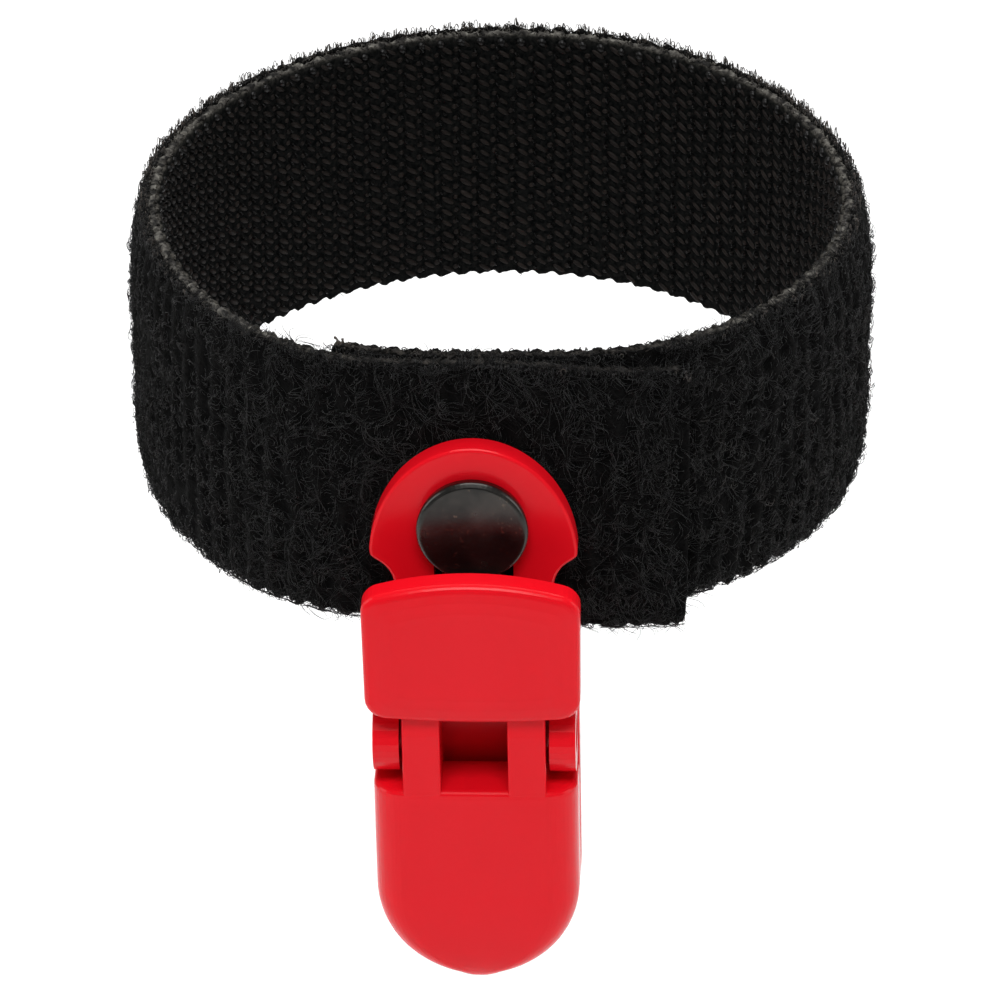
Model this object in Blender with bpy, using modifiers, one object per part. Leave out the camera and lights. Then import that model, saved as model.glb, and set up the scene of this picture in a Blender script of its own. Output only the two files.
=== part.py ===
"""A hook-and-loop wrist strap, closed into a ring, with a swivelling jaw clip riveted to its lap.

Metres, +Z up. The origin is the centre of the strap's ring, at mid-width. The clip hangs on the -Y side.
Points of the clip are given as u (across, +X), v (up, from the rivet) and w (forward, -Y, from the back
of the tab), in the order (u, v, w) or, for side profiles, (w, v).
"""

import math

import bmesh
import bpy
from mathutils import Matrix, Vector

MM = 0.001

# Strap
STRAP_WIDTH = 25.4 * MM
RING_INNER_RADIUS = 30.75 * MM
HOOK_TAPE = 0.55 * MM
BOND_FILM = 0.30 * MM
LOOP_TAPE = 0.85 * MM
TAPE_GAP = 0.10 * MM
WRAP_GAP = 0.20 * MM
LAMINATE = HOOK_TAPE + BOND_FILM + LOOP_TAPE + 2 * TAPE_GAP
WRAP_PITCH = LAMINATE + WRAP_GAP

# The front of the ring is pressed flatter, where the two wraps and the stiff tab lie, and the back bulges.
FRONT_FLATTENING = 2.1 * MM
FLATTENING_CENTRE = 2.0
FLATTENING_SPREAD = 22.0
BACK_BULGE = 1.3 * MM
BULGE_CENTRE = 170.0
BULGE_SPREAD = 45.0

# Angles along the wound strap, in degrees from the front, growing towards +X.
INNER_END = -25.0
STEP_START = 279.0
STEP_END = 340.0
LAP_HINGE = 334.75
LAP_SPLIT = 0.30 * MM
FREE_END = 391.5
LAP_DROP = 1.5 * MM
LAP_RISE = 0.7 * MM
SEGMENT = 3.0

# Rivet, and the lean of the clip that hangs from it
RIVET_X = -0.85 * MM
RIVET_DROP = 1.2 * MM
CLIP_LEAN = 1.0
CAP_RADIUS = 4.92 * MM
CAP_HEIGHT = 1.20 * MM
POST_RADIUS = 1.6 * MM
POST_BORE = 1.0 * MM
FLANGE_RADIUS = 2.9 * MM
BACK_CAP_RADIUS = 4.2 * MM
BACK_CAP_HEIGHT = 0.40 * MM
ROUND_STEPS = 64

# Clip
TAB_THICKNESS = 2.3 * MM
TAB_STANDOFF = 0.35 * MM
TAB_HALF = 9.18 * MM
TAB_CENTRE_V = -3.6 * MM
TAB_RISE = 11.25 * MM
NECK_HALF = 7.0 * MM
SCALLOP_RADIUS = 3.2 * MM
SCALLOP_V = -6.3 * MM
PLATE_HALF = 9.1 * MM
LAND_STEP = 0.40 * MM
LAND_TOP_V = -14.85 * MM
JAW_END_V = -34.95 * MM
JAW_END_LENGTH = 10.1 * MM
WINDOW_HALF = 3.5 * MM
WINDOW_TOP_V = -3.6 * MM
WINDOW_BOTTOM_V = -10.0 * MM
PIVOT_W = 4.8 * MM
PIVOT_V = -19.75 * MM
EAR_RADIUS = 3.35 * MM
EAR_INNER = 6.63 * MM
EAR_OUTER = 8.95 * MM
TRUNNION_RADIUS = 1.5 * MM
TRUNNION_END = 8.6 * MM
TRUNNION_CLEARANCE = 0.15 * MM
RIB_INNER = 2.97 * MM
RIB_OUTER = 6.33 * MM
LEDGE_V = -23.8 * MM
JAW_INNER_W = 3.2 * MM
JAW_FRONT_W = 8.5 * MM
JAW_HALF = 9.08 * MM
JAW_CORNER = 2.8 * MM
TOOTH_HEIGHT = 0.42 * MM
TOOTH_PITCH = 1.5 * MM
PAD_HALF_TOP = 9.56 * MM
PAD_HALF_LOW = 9.47 * MM
PAD_TOP_V = -1.75 * MM
PAD_LOW_V = -16.1 * MM
PAD_ARCH = 1.1 * MM
PAD_SAG = 0.3 * MM
PAD_THICKNESS = 2.8 * MM
PAD_BACK_W = 6.65 * MM
PAD_CORNER = 2.0 * MM
PAD_ROUNDING = 0.9 * MM
PAD_TILT = 2.0
SPRING_THICKNESS = 0.45 * MM
SPRING_HALF = 2.45 * MM
SPRING_REAR_W = 2.95 * MM
SPRING_FRONT_W = 6.05 * MM
SPRING_BEND_V = -13.95 * MM
SPRING_TOP_V = -5.2 * MM
SPRING_HOOK_W = 1.2 * MM


def clear_scene():
    for old in list(bpy.data.objects):
        bpy.data.objects.remove(old, do_unlink=True)


def make_collection(name):
    made = bpy.data.collections.new(name)
    bpy.context.scene.collection.children.link(made)
    return made


def make_material(name, colour, roughness, metallic=0.0):
    made = bpy.data.materials.new(name)
    made.use_nodes = True
    shader = made.node_tree.nodes["Principled BSDF"]
    shader.inputs["Base Color"].default_value = (*colour, 1.0)
    shader.inputs["Roughness"].default_value = roughness
    shader.inputs["Metallic"].default_value = metallic
    return made


def add_object(name, mesh, collection, material=None):
    made = bpy.data.objects.new(name, mesh)
    collection.objects.link(made)
    if material:
        mesh.materials.append(material)
    return made


def add_helper(name, mesh):
    """A shape that is only joined to another, or cut from it."""
    made = add_object(name, mesh, cutters)
    made.hide_render = True
    made.display_type = "WIRE"
    return made


def boolean(target, other, operation):
    step = target.modifiers.new(other.name, "BOOLEAN")
    step.operation = operation
    step.solver = "EXACT"
    step.object = other


def bevel(target, width, segments, angle=40.0):
    step = target.modifiers.new("rounded_edges", "BEVEL")
    step.width = width
    step.segments = segments
    step.limit_method = "ANGLE"
    step.angle_limit = math.radians(angle)


def solidify(target, thickness):
    step = target.modifiers.new("thickness", "SOLIDIFY")
    step.thickness = thickness
    step.offset = 0.0
    step.use_even_offset = True


def shade_smooth(mesh):
    mesh.shade_smooth()
    mesh.set_sharp_from_angle(angle=math.radians(35))


def hang_on(parent, children):
    """Parents the children and leaves them where they are."""
    bpy.context.view_layer.update()
    for child in children:
        child.parent = parent
        child.matrix_parent_inverse = parent.matrix_world.inverted()


def add_axis(name, location, parent=None):
    made = bpy.data.objects.new(name, None)
    made.empty_display_size = 4 * MM
    made.location = location
    wrist_strap.objects.link(made)
    if parent:
        hang_on(parent, [made])
    return made


def smoothstep(value):
    value = min(max(value, 0.0), 1.0)
    return value * value * (3.0 - 2.0 * value)


# The wound strap


def hook_face_radius(turn):
    """Radius of the strap's inner face, at an angle along its winding."""
    from_front = (turn - FLATTENING_CENTRE + 180.0) % 360.0 - 180.0
    flattened = FRONT_FLATTENING * math.exp(-((from_front / FLATTENING_SPREAD) ** 2))
    from_back = (turn - BULGE_CENTRE + 180.0) % 360.0 - 180.0
    bulged = BACK_BULGE * math.exp(-((from_back / BULGE_SPREAD) ** 2))
    raised = WRAP_PITCH * smoothstep((turn - STEP_START) / (STEP_END - STEP_START))
    return RING_INNER_RADIUS - flattened + bulged + raised


def strap_point(turn, depth, z):
    """A point at an angle along the winding, a depth out from the inner face, and a height."""
    radius = hook_face_radius(turn) + depth
    angle = math.radians(turn)
    return Vector((radius * math.sin(angle), -radius * math.cos(angle), z))


def lap_drop(turn):
    """How far the lap hangs below the ring: it rises a little at first, then drops to its free end."""
    share = max(0.0, turn - LAP_HINGE) / (FREE_END - LAP_HINGE)
    return LAP_DROP * share**2 - LAP_RISE * (4 * share * (1 - share)) ** 2


def add_tape(name, start, end, depth, thickness, material):
    """One layer of the laminate: an upright ribbon along the winding, made solid."""
    mesh = bpy.data.meshes.new(name)
    shape = bmesh.new()
    count = math.ceil((end - start) / SEGMENT)
    before = None
    for i in range(count + 1):
        turn = start + (end - start) * i / count
        drop = lap_drop(turn)
        middle = depth + thickness / 2
        low = shape.verts.new(strap_point(turn, middle, -STRAP_WIDTH / 2 - drop))
        high = shape.verts.new(strap_point(turn, middle, STRAP_WIDTH / 2 - drop))
        if before:
            shape.faces.new((before[0], low, high, before[1]))
        before = (low, high)
    shape.to_mesh(mesh)
    shape.free()
    made = add_object(name, mesh, wrist_strap, material)
    solidify(made, thickness)
    return made


def add_laminate(prefix, start, end):
    film_depth = HOOK_TAPE + TAPE_GAP
    loop_depth = film_depth + BOND_FILM + TAPE_GAP
    return [
        add_tape(prefix + "_hook_tape", start, end, 0.0, HOOK_TAPE, hook_material),
        add_tape(prefix + "_bond_film", start, end, film_depth, BOND_FILM, film_material),
        add_tape(prefix + "_loop_tape", start, end, loop_depth, LOOP_TAPE, loop_material),
    ]


# Shapes on the clip's own axes


def facing_front():
    """Local X, Y and Z run along u, v and w."""
    place = Matrix.Translation((RIVET_X, -tab_back, -RIVET_DROP))
    lean = Matrix.Rotation(math.radians(-CLIP_LEAN), 4, "Y")
    return place @ lean @ Matrix.Rotation(math.radians(90), 4, "X")


def facing_side(u):
    """Local X and Y run along w and v, and local Z along -u."""
    turn = Matrix(((0, 0, -1), (0, 1, 0), (1, 0, 0))).to_4x4()
    return facing_front() @ Matrix.Translation((u, 0, 0)) @ turn


def clip_point(u, v, w):
    return facing_front() @ Vector((u, v, w))


def arc(centre, radius, start, end, count, stretch=1.0):
    """Points on an arc, in degrees. stretch lengthens it along its second axis."""
    found = []
    for i in range(count + 1):
        angle = math.radians(start + (end - start) * i / count)
        across = centre[0] + radius * math.cos(angle)
        found.append((across, centre[1] + radius * stretch * math.sin(angle)))
    return found


def loft_mesh(name, rings):
    """Skins rings of equally many points and closes both ends."""
    mesh = bpy.data.meshes.new(name)
    shape = bmesh.new()
    made = [[shape.verts.new(point) for point in ring] for ring in rings]
    for one, two in zip(made, made[1:]):
        for i in range(len(one)):
            j = (i + 1) % len(one)
            shape.faces.new((one[i], one[j], two[j], two[i]))
    shape.faces.new(made[0])
    shape.faces.new(made[-1])
    bmesh.ops.recalc_face_normals(shape, faces=shape.faces)
    shape.to_mesh(mesh)
    shape.free()
    return mesh


def outline_mesh(name, points, thickness):
    """A flat outline made solid, half of its thickness on either side."""
    half = thickness / 2
    return loft_mesh(name, [[(x, y, -half) for x, y in points], [(x, y, half) for x, y in points]])


def cylinder_mesh(name, radius, length):
    mesh = bpy.data.meshes.new(name)
    shape = bmesh.new()
    bmesh.ops.create_cone(
        shape, cap_ends=True, segments=ROUND_STEPS, radius1=radius, radius2=radius, depth=length
    )
    shape.to_mesh(mesh)
    shape.free()
    return mesh


def box_mesh(name, size):
    mesh = bpy.data.meshes.new(name)
    shape = bmesh.new()
    bmesh.ops.create_cube(shape, size=1.0)
    bmesh.ops.scale(shape, vec=size, verts=shape.verts)
    shape.to_mesh(mesh)
    shape.free()
    return mesh


def add_turned(name, profile, collection, material=None):
    """A profile of (radius, w) points from the axis out, turned about the rivet's axis."""
    mesh = bpy.data.meshes.new(name)
    shape = bmesh.new()
    points = [shape.verts.new((radius, 0.0, w)) for radius, w in profile]
    for one, two in zip(points, points[1:]):
        shape.edges.new((one, two))
    shape.to_mesh(mesh)
    shape.free()
    made = add_object(name, mesh, collection, material)
    screw = made.modifiers.new("turned", "SCREW")
    screw.axis = "Z"
    screw.steps = ROUND_STEPS
    screw.render_steps = ROUND_STEPS
    screw.use_merge_vertices = True
    screw.merge_threshold = 0.00001
    made.matrix_world = facing_front()
    return made


# Rivet


def add_rivet():
    front = TAB_THICKNESS + 0.15 * MM
    top = front + CAP_HEIGHT
    rim = 0.55 * MM
    pocket = FLANGE_RADIUS + 0.3 * MM
    flange_top = front + 0.45 * MM
    cap_profile = [(0.0, top)]
    cap_profile += arc((CAP_RADIUS - rim, top - rim), rim, 90, 0, 6)
    cap_profile += [(CAP_RADIUS - 0.12 * MM, front), (pocket, front)]
    cap_profile += [(pocket, flange_top + 0.15 * MM), (0.0, flange_top + 0.15 * MM)]
    cap = add_turned("rivet_cap", cap_profile, wrist_strap, metal_material)

    back_face = -TAB_STANDOFF - LAMINATE
    disc_low = back_face + 0.05 * MM
    disc_high = disc_low + BACK_CAP_HEIGHT
    post_profile = [(POST_BORE, flange_top), (FLANGE_RADIUS, flange_top)]
    post_profile += [(FLANGE_RADIUS, front + 0.05 * MM), (POST_RADIUS, front + 0.05 * MM)]
    post_profile += [(POST_RADIUS, disc_high + 0.1 * MM), (POST_BORE, disc_high + 0.1 * MM)]
    post_profile += [(POST_BORE, flange_top)]
    post = add_turned("rivet_post", post_profile, wrist_strap, metal_material)

    peg = POST_BORE - 0.15 * MM
    peg_top = front - 0.6 * MM
    back_profile = [(0.0, peg_top), (peg, peg_top), (peg, disc_high)]
    back_profile += [(BACK_CAP_RADIUS, disc_high), (BACK_CAP_RADIUS, disc_low), (0.0, disc_low)]
    back_cap = add_turned("rivet_back_cap", back_profile, wrist_strap, metal_material)
    for piece in (cap, post, back_cap):
        shade_smooth(piece.data)
    return [cap, post, back_cap]


def cut_rivet_holes(lap_tapes):
    """A hole for the post through the lap, wide enough in the hook tape for the back cap."""
    reach = 12 * MM
    for tape in lap_tapes:
        wide = tape.name == "lap_hook_tape"
        radius = (BACK_CAP_RADIUS if wide else POST_RADIUS) + 0.3 * MM
        hole = add_helper(tape.name + "_hole", cylinder_mesh(tape.name + "_hole", radius, reach))
        hole.matrix_world = facing_front()
        boolean(tape, hole, "DIFFERENCE")


# Back moulding of the clip


def plate_outline():
    """Oval tab, scalloped neck, shoulders, straight sides and the round end of the jaw."""
    right = arc((0.0, JAW_END_V), PLATE_HALF, -90, 0, 28, JAW_END_LENGTH / PLATE_HALF)
    right += [(PLATE_HALF, -10.9 * MM), (NECK_HALF, -9.3 * MM)]
    right += arc((NECK_HALF + SCALLOP_RADIUS, SCALLOP_V), SCALLOP_RADIUS, 180, 118, 6)
    right += [(TAB_HALF - 0.1 * MM, SCALLOP_V + 3.15 * MM)]
    right += arc((0.0, TAB_CENTRE_V), TAB_HALF, 6, 90, 28, TAB_RISE / TAB_HALF)
    left = [(-x, y) for x, y in reversed(right[1:-1])]
    return right + left


def tooth_row(name, half_width, first_v, count, root_w, direction):
    """Ridges across the jaw, as one saw profile run along u."""
    base = root_w - direction * 0.5 * MM
    profile = [(base, first_v)]
    for i in range(count):
        v = first_v - i * TOOTH_PITCH
        profile += [(root_w, v), (root_w + direction * TOOTH_HEIGHT, v - TOOTH_PITCH / 2)]
    end = first_v - count * TOOTH_PITCH
    profile += [(root_w, end), (base, end)]
    made = add_helper(name, outline_mesh(name, profile, 2 * half_width))
    made.matrix_world = facing_side(0.0)
    return made


def add_ear(side):
    middle = side * (EAR_INNER + EAR_OUTER) / 2
    profile = [(1.6 * MM, PIVOT_V - EAR_RADIUS)]
    profile += arc((PIVOT_W, PIVOT_V), EAR_RADIUS, -90, 90, 16)
    profile += [(1.6 * MM, PIVOT_V + EAR_RADIUS)]
    name = "ear_right" if side > 0 else "ear_left"
    made = add_helper(name, outline_mesh(name, profile, EAR_OUTER - EAR_INNER))
    made.matrix_world = facing_side(middle)
    return made


def add_back_moulding():
    plate = outline_mesh("clip_back_moulding", plate_outline(), TAB_THICKNESS)
    made = add_object("clip_back_moulding", plate, wrist_strap, red_material)
    made.matrix_world = facing_front() @ Matrix.Translation((0, 0, TAB_THICKNESS / 2))
    bevel(made, 0.25 * MM, 2)
    made.modifiers.new("flat_faces", "TRIANGULATE")

    teeth = tooth_row("back_teeth", 5.0 * MM, -37.75 * MM, 3, TAB_THICKNESS - 0.02 * MM, 1)
    boolean(made, teeth, "UNION")
    for side in (-1, 1):
        boolean(made, add_ear(side), "UNION")
    relief = add_helper("land_relief", box_mesh("land_relief", (24 * MM, 40 * MM, 4 * MM)))
    place = Matrix.Translation((0, LAND_TOP_V - 20 * MM, LAND_STEP - 2 * MM))
    relief.matrix_world = facing_front() @ place
    boolean(made, relief, "DIFFERENCE")

    window_height = WINDOW_TOP_V - WINDOW_BOTTOM_V
    window = add_helper("window", box_mesh("window", (2 * WINDOW_HALF, window_height, 8 * MM)))
    middle_v = (WINDOW_TOP_V + WINDOW_BOTTOM_V) / 2
    window.matrix_world = facing_front() @ Matrix.Translation((0, middle_v, 0))
    boolean(made, window, "DIFFERENCE")
    rivet_hole = add_helper("tab_hole", cylinder_mesh("tab_hole", POST_RADIUS + 0.2 * MM, 8 * MM))
    rivet_hole.matrix_world = facing_front()
    boolean(made, rivet_hole, "DIFFERENCE")
    bore_radius = TRUNNION_RADIUS + TRUNNION_CLEARANCE
    bore = add_helper("pivot_bore", cylinder_mesh("pivot_bore", bore_radius, 24 * MM))
    bore.matrix_world = facing_side(0.0) @ Matrix.Translation((PIVOT_W, PIVOT_V, 0))
    boolean(made, bore, "DIFFERENCE")
    return made


# Front moulding of the clip


def jaw_ring(v, half_width, front):
    """A section across the front jaw: flat inside, rounded at the two front corners."""
    corner = min(JAW_CORNER, 0.85 * half_width, 0.85 * (front - JAW_INNER_W))
    right = arc((half_width - corner, front - corner), corner, 0, 90, 10)
    section = [(half_width, JAW_INNER_W)] + right
    section += [(-u, w) for u, w in reversed(section)]
    return [clip_point(u, v, w) for u, w in section]


def front_jaw_mesh():
    rings = []
    for drop, inset in ((0.0, 0.5), (0.06, 0.28), (0.18, 0.12), (0.35, 0.03)):
        ledge_front = JAW_FRONT_W - inset * MM
        rings.append(jaw_ring(LEDGE_V - drop * MM, JAW_HALF - inset * MM, ledge_front))
    straight = 8
    full_height = JAW_FRONT_W - JAW_INNER_W
    for i in range(straight):
        share = (i + 0.5) / straight
        v = LEDGE_V + (JAW_END_V - LEDGE_V) * share
        rings.append(jaw_ring(v, JAW_HALF, JAW_FRONT_W - 0.3 * MM * share**2))
    for i in range(25):
        angle = math.radians(87 * i / 24)
        v = JAW_END_V - JAW_END_LENGTH * math.sin(angle)
        front = JAW_FRONT_W - 0.3 * MM - full_height * 0.55 * (1 - math.cos(angle) ** 0.8)
        rings.append(jaw_ring(v, JAW_HALF * math.cos(angle), front))
    return loft_mesh("clip_front_moulding", rings)


def pad_outline(inset):
    """Rounded rectangle, arched along the top and a little round along the bottom."""
    corner = PAD_CORNER - 0.7 * inset
    low = PAD_LOW_V + PAD_SAG + inset + corner
    high = PAD_TOP_V - PAD_ARCH - inset - corner
    right = arc((PAD_HALF_LOW - inset - corner, low), corner, -86, 0, 6)
    right += arc((PAD_HALF_TOP - inset - corner, high), corner, 0, 74, 6)
    left = [(-x, y) for x, y in reversed(right)]
    top = []
    bottom = []
    top_v = PAD_TOP_V - inset
    low_v = PAD_LOW_V + inset
    for i in range(1, 12):
        share = 1 - i / 6
        top.append((right[-1][0] * share, top_v + (right[-1][1] - top_v) * share**2))
        bottom.append((-right[0][0] * share, low_v + (right[0][1] - low_v) * share**2))
    return right + top + left + bottom


def pad_mesh():
    """Outlines from the back to the slightly crowned front."""
    steps = [(0.2 * MM, 0.0), (0.0, 0.2 * MM)]
    side = PAD_THICKNESS - PAD_ROUNDING
    for i in range(6):
        angle = math.radians(15 * i)
        inset = PAD_ROUNDING * (1 - math.cos(angle))
        steps.append((inset, side + 0.75 * PAD_ROUNDING * math.sin(angle)))
    steps += [(1.5 * MM, PAD_THICKNESS - 0.10 * MM), (2.6 * MM, PAD_THICKNESS)]
    return loft_mesh("finger_pad", [[(x, y, w) for x, y in pad_outline(i)] for i, w in steps])


def rib_profile():
    """Side view of a rib: flush with the jaw in front, round behind the pivot, up into the pad."""
    hub = arc((PIVOT_W, PIVOT_V), 2.1 * MM, 215, 160, 6)
    profile = [(JAW_INNER_W + 0.4 * MM, LEDGE_V - 2 * MM)]
    profile += hub
    profile += [(PAD_BACK_W + 0.3 * MM, -8.0 * MM), (PAD_BACK_W + 1.4 * MM, -8.0 * MM)]
    profile += [(8.1 * MM, PAD_LOW_V + 1.0 * MM), (JAW_FRONT_W, -17.95 * MM)]
    profile += [(JAW_FRONT_W, LEDGE_V - 0.4 * MM), (JAW_FRONT_W - 1.5 * MM, LEDGE_V - 2 * MM)]
    return profile


def add_front_moulding():
    made = add_object("clip_front_moulding", front_jaw_mesh(), wrist_strap, red_material)
    pocket = add_helper("jaw_pocket", box_mesh("jaw_pocket", (12 * MM, 9 * MM, 5 * MM)))
    pocket_w = JAW_INNER_W + 0.7 * MM
    pocket.matrix_world = facing_front() @ Matrix.Translation((0, -30.85 * MM, pocket_w))
    boolean(made, pocket, "DIFFERENCE")

    pad = add_helper("finger_pad", pad_mesh())
    tilt = Matrix.Rotation(math.radians(PAD_TILT), 4, "X")
    foot = Matrix.Translation((0, PAD_LOW_V, PAD_BACK_W))
    pad.matrix_world = facing_front() @ foot @ tilt @ Matrix.Translation((0, -PAD_LOW_V, 0))
    boolean(made, pad, "UNION")
    for side in (-1, 1):
        name = "rib_right" if side > 0 else "rib_left"
        rib = add_helper(name, outline_mesh(name, rib_profile(), RIB_OUTER - RIB_INNER))
        rib.matrix_world = facing_side(side * (RIB_INNER + RIB_OUTER) / 2)
        bevel(rib, 0.2 * MM, 2)
        rib.modifiers.new("flat_faces", "TRIANGULATE")
        boolean(made, rib, "UNION")
        name = "trunnion_right" if side > 0 else "trunnion_left"
        start = RIB_OUTER - 1.0 * MM
        length = TRUNNION_END - start
        trunnion = add_helper(name, cylinder_mesh(name, TRUNNION_RADIUS, length))
        place = facing_side(side * (start + length / 2))
        trunnion.matrix_world = place @ Matrix.Translation((PIVOT_W, PIVOT_V, 0))
        boolean(made, trunnion, "UNION")
    first = -37.75 * MM + TOOTH_PITCH / 2
    teeth = tooth_row("front_teeth", 5.0 * MM, first, 3, JAW_INNER_W, -1)
    boolean(made, teeth, "UNION")
    return made


# Leaf spring between the plate and the pad


def add_leaf_spring():
    bend = (SPRING_FRONT_W - SPRING_REAR_W) / 2
    path = [(SPRING_HOOK_W, SPRING_TOP_V - 0.6 * MM), (SPRING_REAR_W - 0.3 * MM, SPRING_TOP_V - 0.9 * MM)]
    path += [(SPRING_REAR_W, SPRING_TOP_V - 1.6 * MM)]
    path += arc((SPRING_REAR_W + bend, SPRING_BEND_V), bend, 180, 360, 16)
    path += [(SPRING_FRONT_W, SPRING_TOP_V)]
    mesh = bpy.data.meshes.new("leaf_spring")
    shape = bmesh.new()
    before = None
    for w, v in path:
        left = shape.verts.new(clip_point(-SPRING_HALF, v, w))
        right = shape.verts.new(clip_point(SPRING_HALF, v, w))
        if before:
            shape.faces.new((before[0], before[1], right, left))
        before = (left, right)
    shape.to_mesh(mesh)
    shape.free()
    made = add_object("leaf_spring", mesh, wrist_strap, steel_material)
    solidify(made, SPRING_THICKNESS)
    return made


clear_scene()
wrist_strap = make_collection("wrist_strap")
cutters = make_collection("cutters")
cutters.hide_render = True
hook_material = make_material("hook_tape_black", (0.012, 0.010, 0.009), 0.6)
film_material = make_material("bond_film_grey", (0.075, 0.075, 0.070), 0.7)
loop_material = make_material("loop_tape_black", (0.010, 0.009, 0.008), 0.95)
red_material = make_material("moulded_red", (0.72, 0.015, 0.02), 0.3)
metal_material = make_material("blackened_metal", (0.045, 0.045, 0.045), 0.35, 0.9)
steel_material = make_material("spring_steel", (0.45, 0.45, 0.46), 0.3, 1.0)

lap_front = min(strap_point(turn, LAMINATE, 0.0).y for turn in range(345, 376))
tab_back = TAB_STANDOFF - lap_front
split = math.degrees(LAP_SPLIT / hook_face_radius(LAP_HINGE)) / 2

add_laminate("strap", INNER_END, LAP_HINGE - split)
lap_tapes = add_laminate("lap", LAP_HINGE + split, FREE_END)
cut_rivet_holes(lap_tapes)
rivet = add_rivet()
back_moulding = add_back_moulding()
front_moulding = add_front_moulding()
leaf_spring = add_leaf_spring()

lap_axis = add_axis("lap_hinge_axis", strap_point(LAP_HINGE, LAMINATE, 0.0))
swivel_axis = add_axis("clip_swivel_axis", clip_point(0, 0, 0), lap_axis)
pivot_axis = add_axis("jaw_pivot_axis", clip_point(0, PIVOT_V, PIVOT_W), swivel_axis)
hang_on(lap_axis, lap_tapes + rivet)
hang_on(swivel_axis, [back_moulding, leaf_spring])
hang_on(pivot_axis, [front_moulding])
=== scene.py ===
"""Looks of a hook-and-loop wrist strap with a swivelling jaw clip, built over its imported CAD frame.

Metres. Places on the strap are given as turn (degrees along its winding, 0 at the front, growing towards
+X), depth (out from the inner face) and z. Places on the clip are u (across), v (up from the rivet) and
w (forward from the back of the tab).
"""

import math

import bpy
import numpy as np
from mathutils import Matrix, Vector


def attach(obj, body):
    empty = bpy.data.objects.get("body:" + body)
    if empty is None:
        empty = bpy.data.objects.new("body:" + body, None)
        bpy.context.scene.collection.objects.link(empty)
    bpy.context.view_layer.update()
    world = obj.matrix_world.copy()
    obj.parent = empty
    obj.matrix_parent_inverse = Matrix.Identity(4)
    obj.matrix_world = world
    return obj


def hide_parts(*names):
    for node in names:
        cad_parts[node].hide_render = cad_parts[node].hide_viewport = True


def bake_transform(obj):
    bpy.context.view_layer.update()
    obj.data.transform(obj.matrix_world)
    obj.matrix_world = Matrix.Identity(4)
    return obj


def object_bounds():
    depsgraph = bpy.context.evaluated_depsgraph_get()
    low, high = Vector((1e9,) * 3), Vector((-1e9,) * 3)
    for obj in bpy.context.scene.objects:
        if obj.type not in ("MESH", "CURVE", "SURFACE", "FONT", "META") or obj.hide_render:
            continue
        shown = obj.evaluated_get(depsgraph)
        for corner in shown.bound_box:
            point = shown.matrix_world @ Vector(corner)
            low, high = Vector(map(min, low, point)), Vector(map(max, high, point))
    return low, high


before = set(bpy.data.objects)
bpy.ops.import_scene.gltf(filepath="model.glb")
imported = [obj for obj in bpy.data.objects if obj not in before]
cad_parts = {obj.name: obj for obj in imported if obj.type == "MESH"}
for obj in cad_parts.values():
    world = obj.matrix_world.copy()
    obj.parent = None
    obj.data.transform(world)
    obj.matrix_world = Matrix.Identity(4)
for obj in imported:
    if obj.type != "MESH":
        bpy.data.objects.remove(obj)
cad_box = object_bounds()
rng = np.random.default_rng(11)
MM = 0.001

# The strap's plan, as in the CAD
RING_INNER_RADIUS = 30.75 * MM
LAMINATE = 1.9 * MM
WRAP_PITCH = 2.1 * MM
FRONT_FLATTENING = 2.1 * MM
FLATTENING_CENTRE = 2.0
FLATTENING_SPREAD = 22.0
BACK_BULGE = 1.3 * MM
BULGE_CENTRE = 170.0
BULGE_SPREAD = 45.0
INNER_END = -25.0
STEP_START = 279.0
STEP_END = 340.0
LAP_HINGE = 334.75
FREE_END = 391.5
LAP_END = 390.8
LAP_DROP = 1.5 * MM
LAP_RISE = 0.7 * MM
HALF_WIDTH = 12.7 * MM

# Layers as they show: hook tape, grey film, loop tape
FILM_START = 0.50 * MM
FILM_END = 1.05 * MM

# The strap is drawn in three lengths: under the lap, round the ring, and the lap, which runs on past the
# hinge
COVERED_END = 29.0
BEND_PIECE_START = 300.0
BEND_FROM = 326.0
BEND_TO = 344.0

# Lengths along the strap are measured on this circle
MEAN_RADIUS = 32 * MM

# Spacings of the tapes, and how deep the hook tape's ground lies
SELVAGE_PITCH = 1.92 * MM
WEAVE_COLUMN = 1.80 * MM
WEAVE_ROW = 1.235 * MM
RIDGE_PITCH = 2.1 * MM
HOOK_FACE = 0.10 * MM

# Fibres for each square millimetre of pile, and thread ends for each metre of edge
CURL_DENSITY = 5.6
FRONT_CURL_DENSITY = 4.6
LINT_PER_METRE = 10000

# Turns at the middle of the clip, and of the rim that is rubbed dark
CLIP_TURN = 358.0
RUBBED_CENTRE = 4.0

# The clip's own axes, and the circle that its tab sweeps over the pile
RIVET_X = -0.85 * MM
RIVET_Z = -1.2 * MM
TAB_BACK = 33.0798 * MM
TAB_SWEEP = 9.6 * MM
CLIP_LEAN = 1.0

# Edges that turn by more degrees than this are shaded sharp
SHARP_EDGE = 32


# Mesh helpers


def add_mesh(name, points, faces, material, smooth=True):
    """faces is a list of index arrays, each with faces of one size."""
    mesh = bpy.data.meshes.new(name)
    faces = [np.asarray(group) for group in faces if len(group)]
    corners = np.concatenate([group.ravel() for group in faces])
    sizes = np.concatenate([np.full(len(group), group.shape[1]) for group in faces])
    starts = np.concatenate([[0], np.cumsum(sizes)[:-1]])
    mesh.vertices.add(len(points))
    mesh.vertices.foreach_set("co", np.asarray(points, np.float32).ravel())
    mesh.loops.add(len(corners))
    mesh.loops.foreach_set("vertex_index", corners.astype(np.int32))
    mesh.polygons.add(len(sizes))
    mesh.polygons.foreach_set("loop_start", starts.astype(np.int32))
    mesh.polygons.foreach_set("use_smooth", np.full(len(sizes), smooth))
    mesh.update(calc_edges=True)
    mesh.validate()
    mesh.materials.append(material)
    made = bpy.data.objects.new(name, mesh)
    bpy.context.scene.collection.objects.link(made)
    return made


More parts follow.
